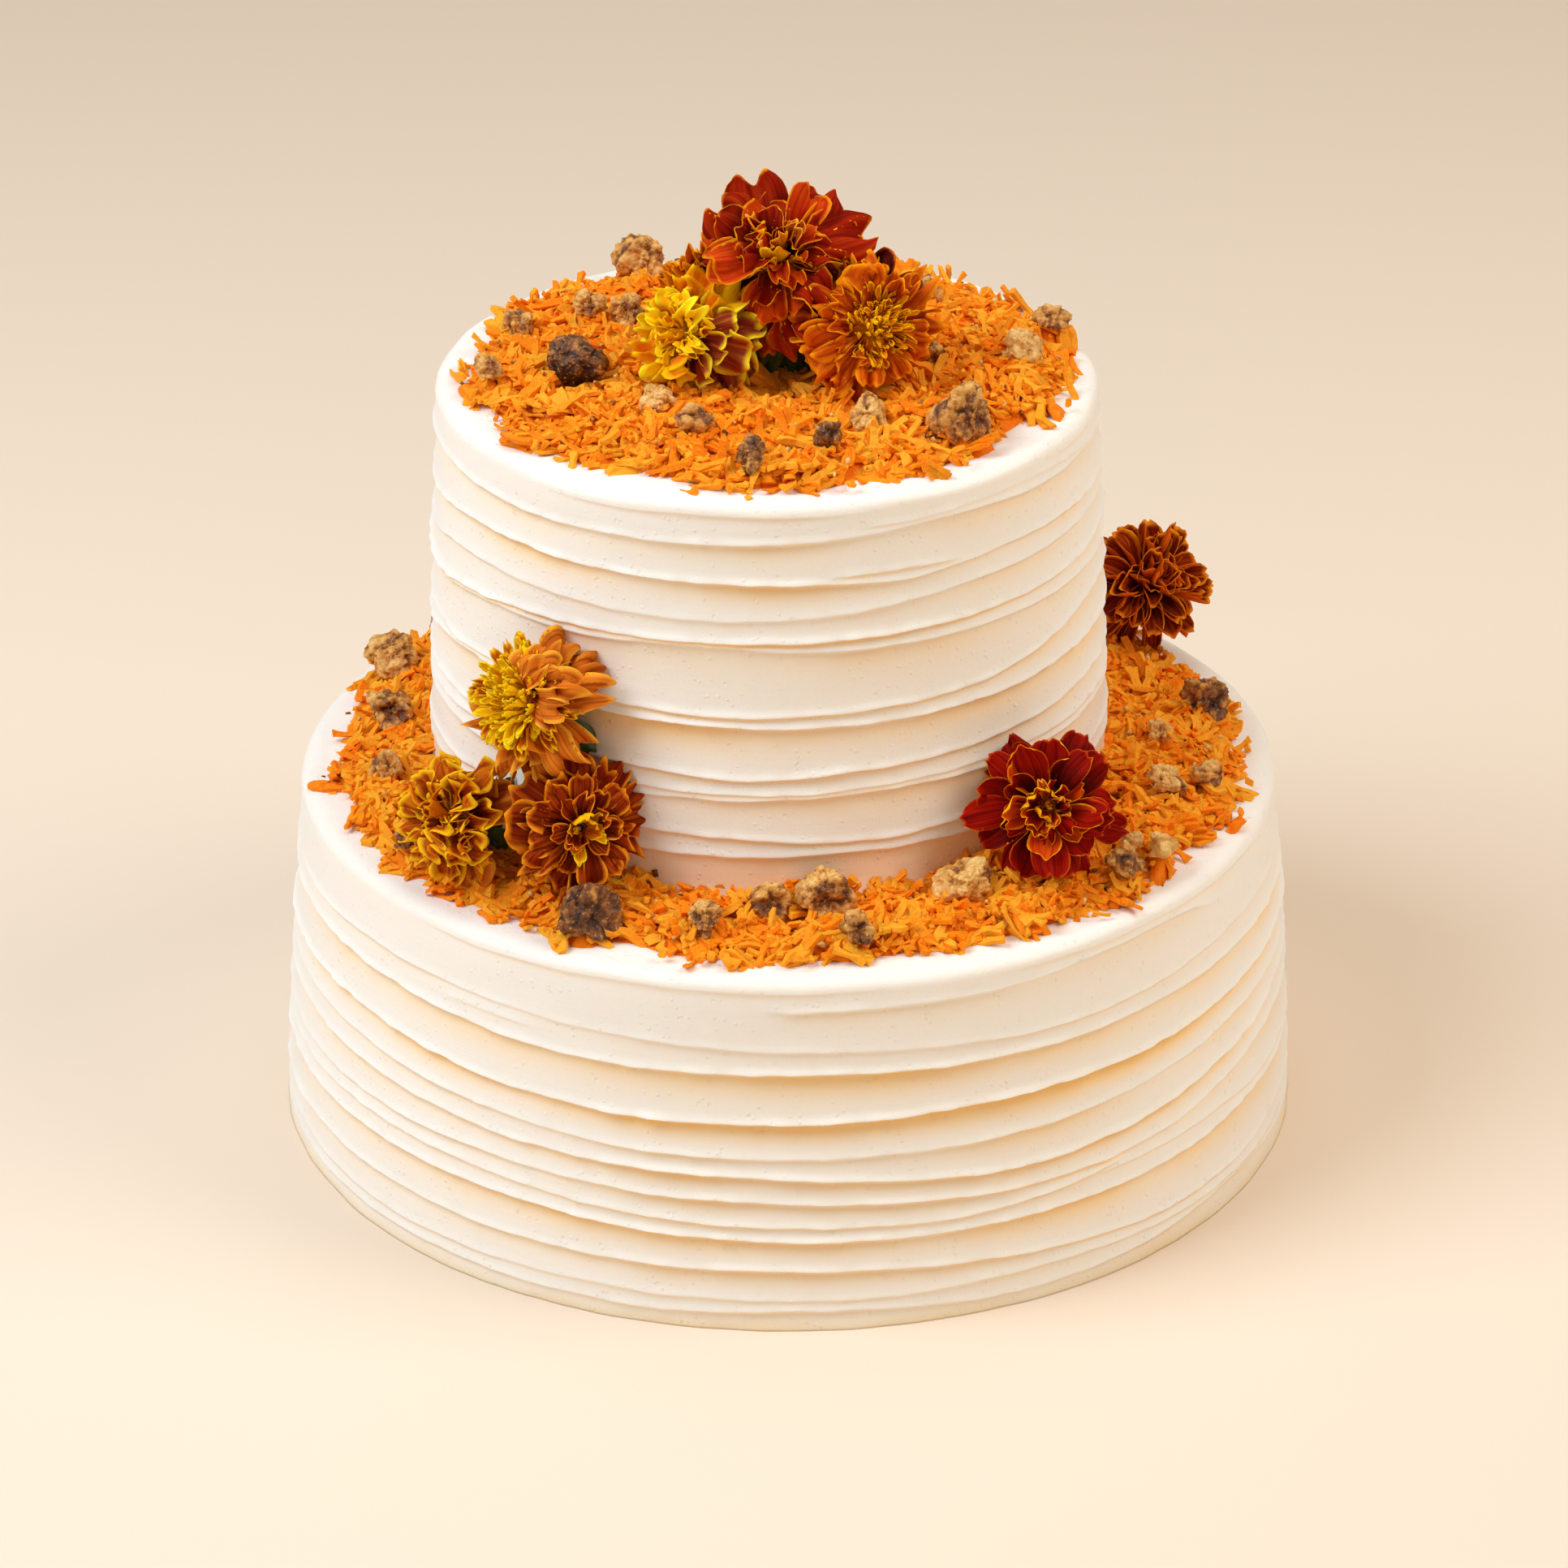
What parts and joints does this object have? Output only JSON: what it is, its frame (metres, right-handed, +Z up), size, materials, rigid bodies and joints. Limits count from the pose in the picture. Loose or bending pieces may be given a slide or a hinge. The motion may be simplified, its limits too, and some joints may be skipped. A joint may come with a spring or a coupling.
{
  "type": "carrot cake",
  "caption": "Two-tier round carrot cake in white frosting, strewn with grated carrot and candied walnuts and decorated with fresh marigold heads.",
  "frame": {"origin": "middle of the flat underside of the lower tier, on the surface that the cake stands on", "axes": "+Z up; -Y towards the front of the cake, where the picture looks from; +X to the right seen from there"},
  "size_m": [0.2384, 0.2392, 0.226],
  "materials": {
    "frosting": "soft cream-cheese frosting, satin",
    "grated_carrot": "moist grated carrot",
    "candied_walnut": "sugar-crusted walnut",
    "marigold_red": "velvety dark red petals",
    "marigold_orange": "ruffled orange-brown petals",
    "marigold_gold": "bright yellow petals",
    "marigold_brown": "maroon-brown petals with golden edges"
  },
  "bodies": {
    "root": {"lower_tier": "frosting", "upper_tier": "frosting", "carrot_upper": "grated_carrot", "carrot_lower": "grated_carrot", "marigold_top_red": "marigold_red", "marigold_top_orange": "marigold_orange", "marigold_top_gold": "marigold_gold", "marigold_top_back": "marigold_orange", "marigold_side_gold": "marigold_gold", "marigold_side_left": "marigold_gold", "marigold_side_front": "marigold_brown", "marigold_right": "marigold_red", "marigold_back_right": "marigold_brown", "marigold_back": "marigold_orange", "walnut_upper_01": "candied_walnut", "walnut_upper_02": "candied_walnut", "walnut_upper_03": "candied_walnut", "walnut_upper_04": "candied_walnut", "walnut_upper_05": "candied_walnut", "walnut_upper_06": "candied_walnut", "walnut_upper_07": "candied_walnut", "walnut_upper_08": "candied_walnut", "walnut_upper_09": "candied_walnut", "walnut_upper_10": "candied_walnut", "walnut_upper_11": "candied_walnut", "walnut_upper_12": "candied_walnut", "walnut_upper_13": "candied_walnut", "walnut_upper_14": "candied_walnut", "walnut_upper_15": "candied_walnut", "walnut_upper_16": "candied_walnut", "walnut_upper_17": "candied_walnut", "walnut_upper_18": "candied_walnut", "walnut_lower_01": "candied_walnut", "walnut_lower_02": "candied_walnut", "walnut_lower_03": "candied_walnut", "walnut_lower_04": "candied_walnut", "walnut_lower_05": "candied_walnut", "walnut_lower_06": "candied_walnut", "walnut_lower_07": "candied_walnut", "walnut_lower_08": "candied_walnut", "walnut_lower_09": "candied_walnut", "walnut_lower_10": "candied_walnut", "walnut_lower_11": "candied_walnut", "walnut_lower_12": "candied_walnut", "walnut_lower_13": "candied_walnut", "walnut_lower_14": "candied_walnut", "walnut_lower_15": "candied_walnut", "walnut_lower_16": "candied_walnut", "walnut_lower_17": "candied_walnut", "walnut_lower_18": "candied_walnut", "walnut_lower_19": "candied_walnut", "walnut_lower_20": "candied_walnut", "walnut_lower_21": "candied_walnut", "walnut_lower_22": "candied_walnut", "walnut_lower_23": "candied_walnut", "walnut_lower_24": "candied_walnut"}
  },
  "joints": []
}
